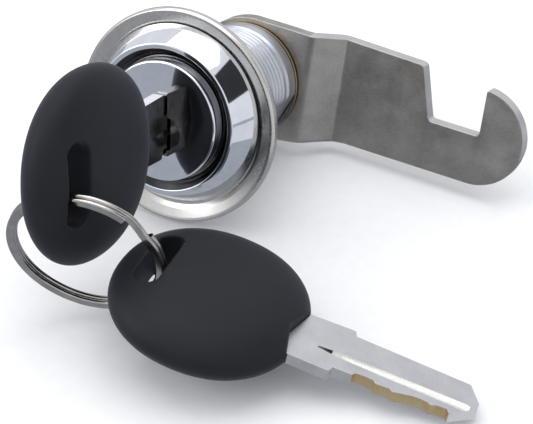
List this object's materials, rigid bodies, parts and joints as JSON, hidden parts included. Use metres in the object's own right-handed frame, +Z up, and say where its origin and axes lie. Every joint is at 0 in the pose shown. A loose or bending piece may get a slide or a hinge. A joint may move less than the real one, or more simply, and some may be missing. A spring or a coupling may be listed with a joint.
{
  "type": "cam lock",
  "caption": "Round-head cam lock with a threaded barrel with two flats, a cranked hook cam, and wide-headed keys on a split ring, one of them in the lock.",
  "frame": {"origin": "middle of the bounding box's base, on the surface that the lock lies on", "axes": "+Z up, +X along the cam's arm, the lock's axis in the Y-Z plane with its face towards -Y and tilted 16 degrees up"},
  "size_m": [0.0744, 0.0688, 0.0357],
  "materials": {
    "chromed_zinc": "polished head, zinc-plated barrel",
    "plug_chrome": "mirror",
    "satin_nickel": "satin, tumbled edges",
    "brass": "machined",
    "spring_steel": "drawn wire",
    "zinc_steel": "zinc plated",
    "nickel_plated_brass": "matte nickel plating, bare brass in the cuts",
    "black_plastic": "soft matte moulded",
    "ring_steel": "nickel plated wire"
  },
  "bodies": {
    "housing": {"housing": "chromed_zinc", "trim_ring": "satin_nickel"},
    "plug": {"plug": "plug_chrome", "stop_washer": "brass", "cam": "satin_nickel", "lock_washer": "zinc_steel", "cam_screw": "zinc_steel", "retainer": "brass", "retainer_spring": "spring_steel", "wafer_spring_1": "spring_steel", "wafer_spring_2": "spring_steel", "wafer_spring_3": "spring_steel", "wafer_spring_4": "spring_steel", "wafer_spring_5": "spring_steel"},
    "key_1": {"key_1_blade": "nickel_plated_brass", "key_1_bow": "black_plastic"},
    "ring": {"split_ring": "ring_steel"},
    "key_2": {"key_2_blade": "nickel_plated_brass", "key_2_bow": "black_plastic"},
    "wafer_1": {"wafer_1": "brass"},
    "wafer_2": {"wafer_2": "brass"},
    "wafer_3": {"wafer_3": "brass"},
    "wafer_4": {"wafer_4": "brass"},
    "wafer_5": {"wafer_5": "brass"}
  },
  "joints": [
    {"name": "plug_turn", "type": "hinge", "parent": "housing", "child": "plug", "pos_m": [-0.02117, 0.00476, 0.01619], "axis": [0, -0.9613, 0.2756], "range_deg": [0, 90]},
    {"name": "key_1_slide", "type": "slide", "parent": "plug", "child": "key_1", "axis": [0, -0.9613, 0.2756], "range_m": [0, 0.025]},
    {"name": "ring_swing", "type": "hinge", "parent": "key_1", "child": "ring", "pos_m": [-0.0206, -0.02794, 0.02264], "axis": [0.9268, 0.153, 0.3429], "range_deg": [-28, 6]},
    {"name": "key_2_swing", "type": "hinge", "parent": "ring", "child": "key_2", "pos_m": [-0.00783, -0.0217, 0.00925], "axis": [0.1561, 0.0731, 0.985], "range_deg": [-4, 16]},
    {"name": "wafer_1_slide", "type": "slide", "parent": "plug", "child": "wafer_1", "axis": [-0.1219, 0.2736, 0.9541], "range_m": [0, 0.00055], "deforming": ["wafer_spring_1"]},
    {"name": "wafer_2_slide", "type": "slide", "parent": "plug", "child": "wafer_2", "axis": [-0.1219, 0.2736, 0.9541], "range_m": [0, 0.0008], "deforming": ["wafer_spring_2"]},
    {"name": "wafer_3_slide", "type": "slide", "parent": "plug", "child": "wafer_3", "axis": [-0.1219, 0.2736, 0.9541], "range_m": [0, 0.00065], "deforming": ["wafer_spring_3"]},
    {"name": "wafer_4_slide", "type": "slide", "parent": "plug", "child": "wafer_4", "axis": [-0.1219, 0.2736, 0.9541], "range_m": [0, 0.00075], "deforming": ["wafer_spring_4"]},
    {"name": "wafer_5_slide", "type": "slide", "parent": "plug", "child": "wafer_5", "axis": [-0.1219, 0.2736, 0.9541], "range_m": [0, 0.0006], "deforming": ["wafer_spring_5"]}
  ],
  "couplings": [
    {"joint": "wafer_1_slide", "follows": "key_1_slide", "ratio": 0.022},
    {"joint": "wafer_2_slide", "follows": "key_1_slide", "ratio": 0.032},
    {"joint": "wafer_3_slide", "follows": "key_1_slide", "ratio": 0.026},
    {"joint": "wafer_4_slide", "follows": "key_1_slide", "ratio": 0.03},
    {"joint": "wafer_5_slide", "follows": "key_1_slide", "ratio": 0.024}
  ]
}
